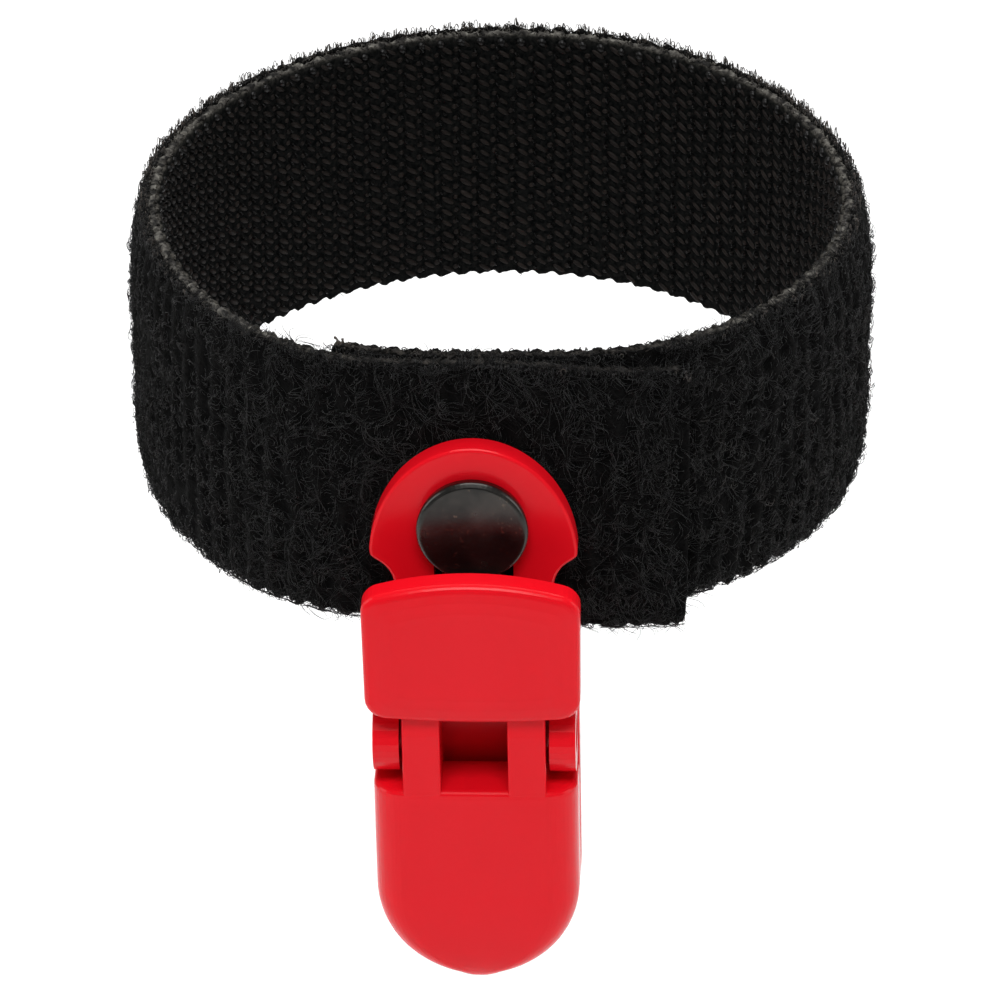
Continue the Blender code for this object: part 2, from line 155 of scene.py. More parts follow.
def set_values(piece, name, values):
    """Stores one number per vertex, for the material."""
    attribute = piece.data.attributes.new(name, "FLOAT", "POINT")
    attribute.data.foreach_set("value", np.asarray(values, np.float32).ravel())


def loft(name, rings, material, sharp=None):
    """Skins rings, an array of ring x point x 3, and closes both ends."""
    count, around = rings.shape[:2]
    index = np.arange(count * around).reshape(count, around)
    side = np.roll(index, -1, axis=1)
    quads = np.stack([index[:-1], index[1:], side[1:], side[:-1]], axis=-1).reshape(-1, 4)
    ends = np.stack([index[0], index[-1][::-1]])
    made = add_mesh(name, rings.reshape(-1, 3), [quads, ends], material)
    if sharp:
        made.data.set_sharp_from_angle(angle=math.radians(sharp))
    return made


def unit(vectors):
    """The vectors at a length of 1."""
    return vectors / (np.linalg.norm(vectors, axis=-1, keepdims=True) + 1e-12)


def tubes(paths, radii, sides=3):
    """Thin closed tubes along paths, an array of tube x point x 3. Returns points and faces."""
    count, length = paths.shape[:2]
    radii = np.broadcast_to(radii, (count, length))
    along = unit(np.gradient(paths, axis=1))
    aside = np.broadcast_to(np.array([0.31, 0.17, 0.93]), along.shape)
    across = unit(np.cross(along, aside))
    third = np.cross(along, across)
    angles = np.arange(sides) * 2 * math.pi / sides
    ring = (
        across[:, :, None, :] * np.cos(angles)[None, None, :, None]
        + third[:, :, None, :] * np.sin(angles)[None, None, :, None]
    )
    points = paths[:, :, None, :] + ring * radii[:, :, None, None]
    index = np.arange(count * length * sides).reshape(count, length, sides)
    side = np.roll(index, -1, axis=2)
    quads = np.stack([index[:, :-1], side[:, :-1], side[:, 1:], index[:, 1:]], axis=-1)
    caps = np.concatenate([index[:, 0, ::-1], index[:, -1]])
    return points.reshape(-1, 3), [quads.reshape(-1, 4), caps]


def tubes_mesh(name, paths, radii, material, value_name, values):
    """Tubes along paths as one mesh, with one value for each tube."""
    points, faces = tubes(paths, radii)
    made = add_mesh(name, points, faces, material)
    set_values(made, value_name, np.repeat(values, len(points) // len(paths)))
    return made


# The strap's surface


def smoothstep(value):
    """0 below 0, 1 above 1, and smooth between."""
    value = np.clip(value, 0.0, 1.0)
    return value * value * (3.0 - 2.0 * value)


def bell(value):
    """1 at 0, falling to nearly 0 past 2."""
    return np.exp(-(value**2))


def turn_from(turn, centre):
    """Degrees from centre, the short way round."""
    return (turn - centre + 180.0) % 360.0 - 180.0


def hook_face_radius(turn):
    """The inner face's distance from the ring's axis."""
    flattened = FRONT_FLATTENING * bell(turn_from(turn, FLATTENING_CENTRE) / FLATTENING_SPREAD)
    bulged = BACK_BULGE * bell(turn_from(turn, BULGE_CENTRE) / BULGE_SPREAD)
    raised = WRAP_PITCH * smoothstep((turn - STEP_START) / (STEP_END - STEP_START))
    return RING_INNER_RADIUS - flattened + bulged + raised


def on_strap(turn, depth, z):
    """Points for arrays of turns, depths and heights, or single values of them."""
    turn, depth, z = np.broadcast_arrays(turn, depth, z)
    radius = hook_face_radius(turn) + depth
    angle = np.radians(turn)
    share = np.clip((turn - LAP_HINGE) / (FREE_END - LAP_HINGE), 0.0, 1.2)
    drop = LAP_DROP * share**2 - LAP_RISE * (4 * share * (1 - share)) ** 2
    return np.stack([radius * np.sin(angle), -radius * np.cos(angle), z - drop], axis=-1)


def length_at(turn):
    """Metres along the strap, near enough for spacing."""
    return np.radians(turn) * MEAN_RADIUS


def turn_at(length):
    """The turn at a length along the strap."""
    return np.degrees(length / MEAN_RADIUS)


def turns_between(start, end, step):
    """Turns from start to end, about step metres apart."""
    count = max(2, int(round(math.radians(end - start) * MEAN_RADIUS / step)) + 1)
    return np.linspace(start, end, count)


def waves(count, lowest, highest):
    """Random waves for smooth noise over the strap: (rate along, rate across, phase)."""
    rates = rng.uniform(lowest, highest, count) * 2 * math.pi
    ways = rng.uniform(0, 2 * math.pi, count)
    return np.stack([rates * np.cos(ways), rates * np.sin(ways), rng.uniform(0, 6.28, count)], axis=1)


def noise(table, along, across):
    """Smooth noise, mostly within -1 and 1."""
    total = np.zeros(np.broadcast(along, across).shape)
    for rate_along, rate_across, phase in table:
        total = total + np.sin(along * rate_along + across * rate_across + phase)
    return total / math.sqrt(len(table)) * 0.8


# Tables of waves, in waves per metre
GRIT = waves(18, 1500, 3600)
TUFTS = waves(14, 250, 700)
GRAIN = waves(18, 700, 1900)
EDGE = waves(10, 150, 900)


def ridges(along, z):
    """The loop tape's upright rows of tufts, from 0 in a groove to 1 on a row."""
    sway = 0.16 * MM * np.sin(z * 520 + 1.3) + 0.12 * MM * noise(EDGE, along, z)
    return 0.5 + 0.5 * np.cos((along + sway) / RIDGE_PITCH * 2 * math.pi)


def scallops(along, phase):
    """The selvage's row of slanted bumps: a slow rise and a sharp drop, from 0 to 1."""
    share = (along / SELVAGE_PITCH + phase) % 1.0
    return smoothstep(share / 0.72) * (1.0 - smoothstep((share - 0.72) / 0.28))


# Materials


class Paint:
    """A material, with short ways to put procedural nodes before its shader."""

    def __init__(self, name):
        self.material = bpy.data.materials.new(name)
        self.material.use_nodes = True
        self.nodes = self.material.node_tree.nodes
        self.links = self.material.node_tree.links
        self.shader = self.nodes["Principled BSDF"]

    def set(self, socket, value):
        """Gives one of the shader's sockets a number."""
        self.shader.inputs[socket].default_value = value

    def link(self, socket, source):
        """Feeds one of the shader's sockets from a node."""
        self.links.new(source, self.shader.inputs[socket])

    def noise(self, scale, detail, stretch=None, distortion=0.0):
        """Noise on object coordinates. stretch scales them per axis."""
        source = self.nodes.new("ShaderNodeTexCoord").outputs["Object"]
        if stretch:
            mapping = self.nodes.new("ShaderNodeMapping")
            mapping.inputs["Scale"].default_value = stretch
            self.links.new(source, mapping.inputs["Vector"])
            source = mapping.outputs["Vector"]
        texture = self.nodes.new("ShaderNodeTexNoise")
        texture.inputs["Scale"].default_value = scale
        texture.inputs["Detail"].default_value = detail
        texture.inputs["Distortion"].default_value = distortion
        self.links.new(source, texture.inputs["Vector"])
        return texture.outputs["Fac"]

    def attribute(self, name):
        """A number that the mesh holds for each vertex."""
        made = self.nodes.new("ShaderNodeAttribute")
        made.attribute_name = name
        return made.outputs["Fac"]

    def ramp(self, source, *stops):
        """Colours at positions, each stop as position, (r, g, b)."""
        made = self.nodes.new("ShaderNodeValToRGB")
        elements = made.color_ramp.elements
        while len(elements) < len(stops):
            elements.new(0.5)
        for element, (position, colour) in zip(elements, stops):
            element.position = position
            element.color = (*colour, 1.0)
        self.links.new(source, made.inputs["Fac"])
        return made.outputs["Color"]

    def span(self, source, low, high, from_low=0.0, from_high=1.0):
        """Turns the range from_low to from_high into the range low to high."""
        made = self.nodes.new("ShaderNodeMapRange")
        made.inputs["From Min"].default_value = from_low
        made.inputs["From Max"].default_value = from_high
        made.inputs["To Min"].default_value = low
        made.inputs["To Max"].default_value = high
        self.links.new(source, made.inputs["Value"])
        return made.outputs["Result"]

    def mix(self, factor, one, two):
        """Mixes two colours, each a socket or an (r, g, b)."""
        made = self.nodes.new("ShaderNodeMix")
        made.data_type = "RGBA"
        self.links.new(factor, made.inputs["Factor"])
        for name, value in (("A", one), ("B", two)):
            target = next(s for s in made.inputs if s.name == name and s.type == "RGBA")
            if isinstance(value, tuple):
                target.default_value = (*value, 1.0)
            else:
                self.links.new(value, target)
        return next(s for s in made.outputs if s.type == "RGBA")

    def bump(self, source, strength, distance, before=None):
        """Bumps, on top of the normal from before where that is given."""
        made = self.nodes.new("ShaderNodeBump")
        made.inputs["Strength"].default_value = strength
        made.inputs["Distance"].default_value = distance
        self.links.new(source, made.inputs["Height"])
        if before:
            self.links.new(before, made.inputs["Normal"])
        return made.outputs["Normal"]


def hook_material():
    """Black woven ground of the hook tape, greyer along its upper selvage: partly its coating, partly
    painted light from above.
    """
    paint = Paint("hook_tape")
    grain = paint.noise(2600, 3)
    black = paint.ramp(grain, (0.35, (0.0009, 0.0013, 0.0014)), (0.7, (0.0075, 0.0075, 0.0072)))
    grey = paint.ramp(grain, (0.3, (0.015, 0.0135, 0.0115)), (0.7, (0.070, 0.066, 0.058)))
    paint.link("Base Color", paint.mix(paint.attribute("edge"), black, grey))
    paint.link("Roughness", paint.span(grain, 0.7, 0.95))
    paint.link("Normal", paint.bump(grain, 0.9, 0.15 * MM))
    paint.set("Specular IOR Level", 0.02)
    return paint.material


def yarn_material():
    """Brown-black floats of the woven ground."""
    paint = Paint("yarn")
    broad = paint.noise(330, 2)
    fine = paint.noise(5200, 2, (1, 1, 0.25))
    brown = paint.ramp(broad, (0.3, (0.0074, 0.0056, 0.0048)), (0.7, (0.0200, 0.0150, 0.0125)))
    paint.link("Base Color", paint.mix(fine, brown, (0.0050, 0.0045, 0.0042)))
    paint.link("Normal", paint.bump(fine, 0.6, 0.05 * MM))
    paint.set("Roughness", 0.55)
    paint.set("Specular IOR Level", 0.08)
    return paint.material


def hook_thread_material():
    """Shiny black monofilament hooks."""
    paint = Paint("hook_thread")
    broad = paint.noise(900, 2)
    colour = paint.ramp(broad, (0.3, (0.0010, 0.0010, 0.0010)), (0.75, (0.0060, 0.0056, 0.0054)))
    paint.link("Base Color", colour)
    paint.set("Roughness", 0.35)
    paint.set("Specular IOR Level", 0.16)
    return paint.material


def film_material():
    """Grey bonding film, uneven and dusty along the cut, and dark where it is worn at the front."""
    paint = Paint("bond_film")
    grain = paint.noise(1500, 5)
    grey = paint.ramp(
        grain,
        (0.40, (0.004, 0.0037, 0.0033)),
        (0.50, (0.052, 0.049, 0.044)),
        (0.64, (0.135, 0.129, 0.114)),
    )
    dark = paint.ramp(grain, (0.4, (0.0030, 0.0026, 0.0023)), (0.75, (0.022, 0.018, 0.015)))
    paint.link("Base Color", paint.mix(paint.attribute("grey"), dark, grey))
    paint.link("Normal", paint.bump(grain, 0.8, 0.12 * MM))
    paint.set("Roughness", 0.7)
    paint.set("Specular IOR Level", 0.15)
    return paint.material


def pile_ground_material():
    """Dark felted ground between the loops, with paler strands on its raised rows; the bare, darker grooves
    are painted shade.
    """
    paint = Paint("pile_ground")
    curl = paint.noise(1500, 3, distortion=2.2)
    fine = paint.noise(4200, 3)
    groove = (0.0006, 0.0007, 0.0007)
    gap = (0.0007, 0.0008, 0.0008)
    strands = paint.ramp(curl, (0.40, gap), (0.50, (0.0055, 0.0053, 0.0050)), (0.60, gap))
    # Near black in the grooves, strands on the rows: painted shade in the grooves
    paint.link("Base Color", paint.mix(paint.attribute("raised"), groove, strands))
    coarse = paint.bump(curl, 0.9, 0.20 * MM)
    paint.link("Normal", paint.bump(fine, 0.5, 0.06 * MM, coarse))
    paint.set("Roughness", 0.95)
    paint.set("Specular IOR Level", 0.03)
    paint.set("Sheen Weight", 0.02)
    paint.set("Sheen Roughness", 0.5)
    return paint.material


def pile_fibre_material():
    """Fine curled fibres, each its own shade from black to brown-grey, with painted shade in the pile's
    grooves and painted backlight on the loops at the back.
    """
    paint = Paint("pile_fibre")
    colour = paint.ramp(
        paint.attribute("shade"),
        (0.0, (0.0005, 0.0005, 0.0006)),
        (0.45, (0.0026, 0.0024, 0.0024)),
        (0.75, (0.0170, 0.0150, 0.0140)),
        (1.0, (0.060, 0.050, 0.043)),
    )
    paint.link("Base Color", colour)
    paint.set("Roughness", 0.6)
    paint.set("Specular IOR Level", 0.07)
    paint.set("Sheen Weight", 0.11)
    paint.set("Sheen Roughness", 0.4)
    return paint.material


def red_plastic_material():
    """Glossy red moulding with faint flow marks, fine scratches and dulled patches."""
    paint = Paint("red_plastic")
    flow = paint.noise(120, 3, (1, 1, 0.45))
    scuff = paint.noise(900, 4, (1, 1, 0.3))
    peel = paint.noise(2200, 2)
    colour = paint.ramp(flow, (0.3, (0.61, 0.0033, 0.0092)), (0.7, (0.63, 0.0043, 0.0112)))
    paint.link("Base Color", colour)
    paint.link("Roughness", paint.span(scuff, 0.21, 0.25, 0.35, 0.75))
    skin = paint.bump(peel, 0.08, 0.03 * MM)
    paint.link("Normal", paint.bump(scuff, 0.03, 0.04 * MM, skin))
    paint.set("Specular IOR Level", 0.15)
    return paint.material


def black_metal_material():
    """Blackened steel, rubbed grey, with brown specks."""
    paint = Paint("black_metal")
    cloud = paint.noise(420, 5)
    speck = paint.noise(2600, 2)
    grain = paint.noise(6000, 2)
    grey = paint.ramp(cloud, (0.3, (0.022, 0.022, 0.021)), (0.7, (0.052, 0.049, 0.045)))
    specks = paint.ramp(speck, (0.66, (0, 0, 0)), (0.74, (1, 1, 1)))
    paint.link("Base Color", paint.mix(specks, grey, (0.10, 0.080, 0.062)))
    paint.link("Roughness", paint.span(cloud, 0.18, 0.32))
    paint.link("Normal", paint.bump(grain, 0.25, 0.02 * MM))
    paint.set("Metallic", 0.9)
    return paint.material


def spring_material():
    """Rolled spring steel, with its rolling lines along the strip."""
    paint = Paint("spring_steel")
    lines = paint.noise(1400, 4, (6, 1, 1))
    paint.link("Base Color", paint.ramp(lines, (0.3, (0.30, 0.30, 0.31)), (0.7, (0.50, 0.50, 0.52))))
    paint.link("Roughness", paint.span(lines, 0.22, 0.42))
    paint.set("Metallic", 1.0)
    return paint.material


def floor_material():
    """Pale matt paper, with a faint cloud."""
    paint = Paint("floor")
    cloud = paint.noise(3, 2)
    paint.link("Base Color", paint.ramp(cloud, (0.3, (0.90, 0.90, 0.90)), (0.7, (0.93, 0.93, 0.93))))
    paint.set("Roughness", 0.9)
    paint.set("Specular IOR Level", 0.1)
    return paint.material


HOOK = hook_material()
YARN = yarn_material()
HOOK_THREAD = hook_thread_material()
FILM = film_material()
GROUND = pile_ground_material()
FIBRE = pile_fibre_material()
RED = red_plastic_material()
BLACK_METAL = black_metal_material()
SPRING = spring_material()


# Hook tape and film


def greyness(turn):
    """How grey the strap's upper rim is: grey round the ring, rubbed dark at the front. On the hook tape's
    selvage this grey is partly painted light from above.
    """
    away = np.abs(turn_from(turn, 0.0) - RUBBED_CENTRE)
    return 0.12 + 0.88 * smoothstep((away - 20.0) / 26.0)


def hook_ground(name, start, end):
    """The hook tape's solid ground. Its upper selvage has short grey fingers, lower at the front."""
    turn = turns_between(start, end, 0.14 * MM)
    along = length_at(turn)
    finger = scallops(along, 0.1)
    grey = greyness(turn)
    proud = np.where(turn > LAP_HINGE, 0.12, 0.26) * MM
    top = HALF_WIDTH - 0.04 * MM + proud * finger + 0.08 * MM * noise(GRIT, along, 0.0)
    low = -HALF_WIDTH + 0.10 * MM - 0.34 * MM * scallops(along, 0.6)
    low = low - 0.06 * MM * noise(GRAIN, along, 0.01)
    # The upper selvage's grey is partly its coating and partly painted light from above; the lower selvage
    # gets none
    coated_and_lit = grey * (0.2 + 0.8 * finger)
    # Depth in millimetres, z, and how grey it is, up the inner face, over the selvage and down the back
    rows = [
        (0.16, low + 0.25 * MM, 0.0),
        (0.08, low + 1.0 * MM, 0.0),
        (0.10, low * 0.5, 0.0),
        (0.10, 0.0, 0.0),
        (0.10, top * 0.5, 0.0),
        (0.10, HALF_WIDTH - 1.5 * MM, 0.0),
        (0.12 - 0.05 * finger, HALF_WIDTH - 0.30 * MM - 0.15 * MM * finger, 0.0),
        (0.22 - 0.12 * finger, top - 0.14 * MM, 0.15 * coated_and_lit),
        (0.36 - 0.12 * finger + 0.05 * noise(GRIT, along, 0.2), top, 0.75 * coated_and_lit),
        (0.55, top - 0.08 * MM * finger, grey),
        (0.55, 0.0, 0.0),
        (0.55, low, 0.0),
        (0.30, low, 0.0),
    ]
    rings = np.stack([on_strap(turn, depth * MM, z) for depth, z, _ in rows], axis=1)
    made = loft(name, rings, HOOK)
    edges = [np.broadcast_to(edge, turn.shape) for _, _, edge in rows]
    set_values(made, "edge", np.stack(edges, axis=1))
    return made


def film(name, start, end):
    """The grey film, whose cut edges stand a little proud and uneven."""
    turn = turns_between(start, end, 0.09 * MM)
    along = length_at(turn)
    proud = np.where(turn > LAP_HINGE, 0.04, 0.10 + 0.10 * greyness(turn)) * MM
    top = (
        HALF_WIDTH
        + proud
        + 0.10 * MM * noise(EDGE, along, 0.02)
        + 0.08 * MM * noise(GRAIN, along, 0.0)
        + 0.08 * MM * noise(GRIT, along, 0.3)
    )
    low = -HALF_WIDTH - 0.02 * MM - 0.08 * MM * noise(EDGE, along, 0.05)
    inner = FILM_START - 0.06 * MM + 0.09 * MM * noise(GRIT, along, 0.03)
    outer = FILM_END + 0.06 * MM + 0.12 * MM * noise(EDGE, along, 0.07)
    outer = outer + 0.10 * MM * noise(GRIT, along, 0.05)
    middle = (inner + outer) / 2
    rows = [
        (inner, low + 0.1 * MM),
        (inner, top - 0.1 * MM),
        (middle - 0.1 * MM, top),
        (middle + 0.1 * MM, top + 0.09 * MM * noise(GRAIN, along, 0.4)),
        (outer, top - 0.12 * MM),
        (outer, low + 0.12 * MM),
        (middle, low),
    ]
    rings = np.stack([on_strap(turn, depth, z) for depth, z in rows], axis=1)
    made = loft(name, rings, FILM)
    gaps = 0.2 + 0.8 * scallops(along, 0.1)
    shares = [0.5 * gaps, gaps, gaps, 0.5 + 0.5 * gaps, 1.0, 1.0, 1.0]
    set_values(made, "grey", np.stack([greyness(turn) * share for share in shares], axis=1))
    return made


def wavy(steps, length, bend, heading, copies):
    """Flat wavy paths that start at 0, 0: arrays of fibre x point, across and up, and each point's share.

    The fibres of a lock, copies in number, all curve alike.
    """
    share = np.linspace(0, 1, steps)[None, :]
    locks = len(length) // copies
    first = np.repeat(rng.uniform(0, 2 * math.pi, locks), copies) + rng.normal(0, 0.25, locks * copies)
    rate = np.repeat(rng.uniform(0.6, 1.6, locks), copies) * math.pi
    turning = bend[:, None] * np.sin(first[:, None] + rate[:, None] * share)
    angle = heading[:, None] + np.cumsum(turning, axis=1) / steps
    step = length[:, None] / (steps - 1)
    across = np.cumsum(np.cos(angle) * step, axis=1)
    up = np.cumsum(np.sin(angle) * step, axis=1)
    return across - across[:, :1], up - up[:, :1], share


def rim_lint(name, start, end):
    """Short grey thread ends caught along the film's upper edge."""
    count = int((length_at(end) - length_at(start)) * LINT_PER_METRE)
    turn = rng.uniform(start, end, count)
    length = rng.uniform(0.25, 0.70, count) * MM
    bend = rng.uniform(1.0, 6.0, count) * rng.choice([-1.0, 1.0], count)
    across, over, share = wavy(5, length, bend, rng.uniform(0, 2 * math.pi, count), 1)
    depth = rng.uniform(0.35, 1.45, count)[:, None] * MM + over
    rise = rng.uniform(0.02, 0.26, count)[:, None] * MM
    z = HALF_WIDTH + 0.10 * MM + rise * np.sin(math.pi * share) - 0.06 * MM * np.abs(share * 2 - 1)
    z = z - np.where(turn > LAP_HINGE, 0.1, 0.0)[:, None] * MM
    paths = on_strap(turn[:, None] + turn_at(across), np.maximum(depth, 0.25 * MM), z)
    radii = rng.uniform(0.035, 0.065, count)[:, None] * MM
    return tubes_mesh(name, paths, radii, FILM, "grey", greyness(turn) * rng.uniform(0.2, 1.0, count))


def lumps_mesh(name, lumps, material):
    """Low rounded lumps on the hook face.

    Each is (along, z, half length, half height, slant, rise), in metres but for the slant.
    """
    sides = 8
    angle = np.arange(sides) * 2 * math.pi / sides
    along, z, half_length, half_height, slant, rise = [lumps[:, i : i + 1] for i in range(6)]
    points = []
    for spread, share in ((1.0, -0.9), (0.88, 0.35), (0.5, 0.95)):
        across = np.cos(angle) * half_length * spread
        up = np.sin(angle) * half_height * spread
        height = z + up + slant * across
        points.append(on_strap(turn_at(along + across), HOOK_FACE - rise * share, height))
    points.append(on_strap(turn_at(along), HOOK_FACE - rise * 1.05, z))
    grid = np.concatenate(points, axis=1)
    index = np.arange(grid.shape[0] * grid.shape[1]).reshape(grid.shape[:2])
    quads = []
    for ring in range(2):
        one = index[:, ring * sides : (ring + 1) * sides]
        two = index[:, (ring + 1) * sides : (ring + 2) * sides]
        quad = [one, np.roll(one, -1, 1), np.roll(two, -1, 1), two]
        quads.append(np.stack(quad, axis=-1).reshape(-1, 4))
    last = index[:, 2 * sides : 3 * sides]
    tip = np.broadcast_to(index[:, -1:], last.shape)
    fans = np.stack([last, np.roll(last, -1, 1), tip], axis=-1).reshape(-1, 3)
    bottoms = index[:, :sides][:, ::-1]
    return add_mesh(name, grid.reshape(-1, 3), [np.concatenate(quads), fans, bottoms], material)


def weave_grid(start, end):
    """Places of the floats: lengths along the strap and heights, in columns."""
    first = length_at(start) + 0.5 * WEAVE_COLUMN
    last = length_at(end) - 0.4 * WEAVE_COLUMN
    columns = np.arange(first, last, WEAVE_COLUMN)
    rows = np.arange(-HALF_WIDTH + 0.7 * MM, HALF_WIDTH - 0.5 * MM, WEAVE_ROW)
    along, z = np.meshgrid(columns, rows, indexing="ij")
    odd = (np.arange(len(columns)) % 2)[:, None] * WEAVE_ROW * 0.5
    return along, z + odd


def weave(name, start, end):
    """Yarn floats over the hook tape's ground, in columns, each half a step on from the last."""
    along, z = weave_grid(start, end)
    one = np.ones_like(z)
    big = [along, z, 0.62 * one, 0.30 * one, 0.55 * one, 0.15 * one]
    small = [along - 0.86 * MM, z + 0.24 * MM, 0.30 * one, 0.28 * one, -0.1 * one, 0.12 * one]
    lumps = np.concatenate([np.stack(kind, axis=-1).reshape(-1, 6) for kind in (big, small)])
    size = rng.uniform(0.85, 1.15, len(lumps))
    for i in (2, 3, 5):
        lumps[:, i] *= size * MM
    lumps[:, 0] += rng.normal(0, 0.06 * MM, len(lumps))
    lumps[:, 1] += rng.normal(0, 0.05 * MM, len(lumps))
    lumps = lumps[np.abs(lumps[:, 1]) < HALF_WIDTH - 0.55 * MM]
    return lumps_mesh(name, lumps, YARN)


def selvage_knots(name, start, end):
    """Black weft loops along the upper selvage, between the grey fingers."""
    first = math.ceil(length_at(start) / SELVAGE_PITCH)
    last = math.floor(length_at(end) / SELVAGE_PITCH)
    along = (np.arange(first, last) + 0.02) * SELVAGE_PITCH
    count = len(along)
    lumps = [
        along + rng.normal(0, 0.05 * MM, count),
        HALF_WIDTH - rng.uniform(0.45, 0.62, count) * MM,
        rng.uniform(0.40, 0.52, count) * MM,
        rng.uniform(0.36, 0.48, count) * MM,
        np.full(count, 0.2),
        rng.uniform(0.20, 0.30, count) * MM,
    ]
    return lumps_mesh(name, np.stack(lumps, axis=-1), HOOK_THREAD)


def hooks(name, start, end):
    """Small bent hooks that stand in the gaps of the weave."""
    along, z = [grid.ravel() for grid in weave_grid(start, end)]
    along = along + 0.62 * MM + rng.normal(0, 0.10 * MM, len(along))
    z = z - 0.30 * MM + rng.normal(0, 0.10 * MM, len(z))
    keep = np.abs(z) < HALF_WIDTH - 0.9 * MM
    along, z = along[keep], z[keep]
    lean = rng.choice([-1.0, 1.0], len(along))
    bend = np.linspace(0, 1, 6)[None, :] * math.pi * 1.15
    reach = 0.20 * MM * (1 - np.cos(bend)) * lean[:, None]
    rise = 0.46 * MM * np.sin(np.minimum(bend, math.pi)) ** 0.8
    turn = turn_at(along[:, None] + reach * 0.6)
    paths = on_strap(turn, 0.06 * MM - rise, z[:, None] + reach * 0.8)
    points, faces = tubes(paths, 0.08 * MM)
    return add_mesh(name, points, faces, HOOK_THREAD)


# Loop tape


def fluff(turn, z):
    """How full the pile stands: pressed under the clip and the lap, thin at the edges, full elsewhere."""
    away = np.abs(turn - CLIP_TURN)
    free = smoothstep((away - 11.0) / 34.0)
    level = z / HALF_WIDTH
    edge = np.where(level > 0, np.abs(level) ** 5, 0.6 * np.abs(level) ** 7)
    fuller = 1.0 + 0.28 * bell((turn - 72.0) / 34.0)
    pressed = np.where(turn < 180.0, 0.15 + 0.85 * smoothstep((turn - 29.5) / 5.0), 1.0)
    return (0.22 + 0.78 * free * fuller) * (1.0 - edge) * pressed


def behind(turn):
    """1 at the back of the ring, 0 at its front."""
    return smoothstep(1.4 - np.abs(turn - 180.0) / 115.0)


def pile_top(turn, z, height):
    """Depth of the felted ground's surface, and how raised each place is from 0 to 1."""
    along = length_at(turn)
    raised = 0.55 * ridges(along, z) + 0.45 * (0.5 + 0.5 * noise(TUFTS, along, z))
    full = fluff(turn, z) * height
    relief = height * (0.35 + 0.65 * full) * 0.60 * MM * (raised - 0.5)
    return LAMINATE - 0.15 * MM + full * 0.92 * MM + relief, raised


def loop_ground(name, start, end, height):
    """The loop tape's felted ground: rows of tufts and ragged edges. height scales its relief."""
    turn = turns_between(start, end, 0.24 * MM)
    along = length_at(turn)
    turn_2d, level = np.meshgrid(turn, np.linspace(-1, 1, 72), indexing="ij")
    z = HALF_WIDTH * level
    depth, raised = pile_top(turn_2d, z, height)
    rough = noise(GRAIN, length_at(turn_2d), z)
    rim = 1.0 - np.clip((1.0 - np.abs(level)) / 0.07, 0, 1) ** 1.6
    depth = depth + height * 0.08 * MM * rough - 0.30 * MM * rim
    back = behind(turn_2d) * (level > 0)
    ragged = 0.42 * MM * (raised - 0.25) + 0.10 * MM * rough + 0.26 * MM * back
    z = z + np.sign(level) * ragged * smoothstep((np.abs(level) - 0.9) / 0.1)
    outer = on_strap(turn_2d, depth, z)
    top = HALF_WIDTH - 0.05 * MM + 0.12 * MM * noise(EDGE, along, 0.011)
    low = -HALF_WIDTH + 0.05 * MM - 0.12 * MM * noise(EDGE, along, 0.017)
    inner = [on_strap(turn, FILM_END - 0.03 * MM, z_edge) for z_edge in (top, low)]
    rings = np.concatenate([outer, np.stack(inner, axis=1)], axis=1)
    made = loft(name, rings, GROUND)
    set_values(made, "raised", np.concatenate([raised, np.zeros((len(turn), 2))], axis=1))
    return made


def fibres_mesh(name, along, depth, z, radii, shade):
    """Tubes along strap paths, with one shade for each. What reaches past an edge droops over it."""
    over = np.abs(z) - HALF_WIDTH
    z = np.where(over > 0, np.sign(z) * (HALF_WIDTH + over * 0.5), z)
    depth = np.maximum(np.where(over > 0, depth - over * 0.7, depth), FILM_END - 0.1 * MM)
    paths = on_strap(turn_at(along), depth, z)
    return tubes_mesh(name, paths, radii, FIBRE, "shade", np.clip(shade, 0, 1))


def in_locks(values, copies, spread):
    """Each value for a whole lock, with a little spread between its fibres."""
    return np.repeat(values, copies) + rng.normal(0, spread, len(values) * copies)


def scatter(start, end, density):
    """Places over the loop tape, thicker on its rows and along its edges: turn, z and how near a row."""
    arc_length = (length_at(end) - length_at(start)) / MM
    count = int(arc_length * 25.4 * density)
    turn = rng.uniform(start, end, count)
    z = rng.uniform(-HALF_WIDTH, HALF_WIDTH, count)
    rim_count = int(arc_length * 5 * density)
    turn = np.concatenate([turn, rng.uniform(start, end, rim_count)])
    side = rng.choice([-1.0, 1.0], rim_count)
    z = np.concatenate([z, side * (HALF_WIDTH - np.abs(rng.normal(0, 0.35 * MM, rim_count)))])
    row = ridges(length_at(turn), z)
    keep = rng.uniform(0, 1, len(turn)) < 0.5 + 0.5 * row
    return turn[keep], z[keep], row[keep]


def near_tab(turn, z):
    """True where the clip's tab sweeps over the pile of the lap."""
    place = on_strap(turn, LAMINATE, z)
    away = np.hypot(place[..., 0] - RIVET_X, place[..., 2] - RIVET_Z)
    return (turn > 330) & (away < TAB_SWEEP)


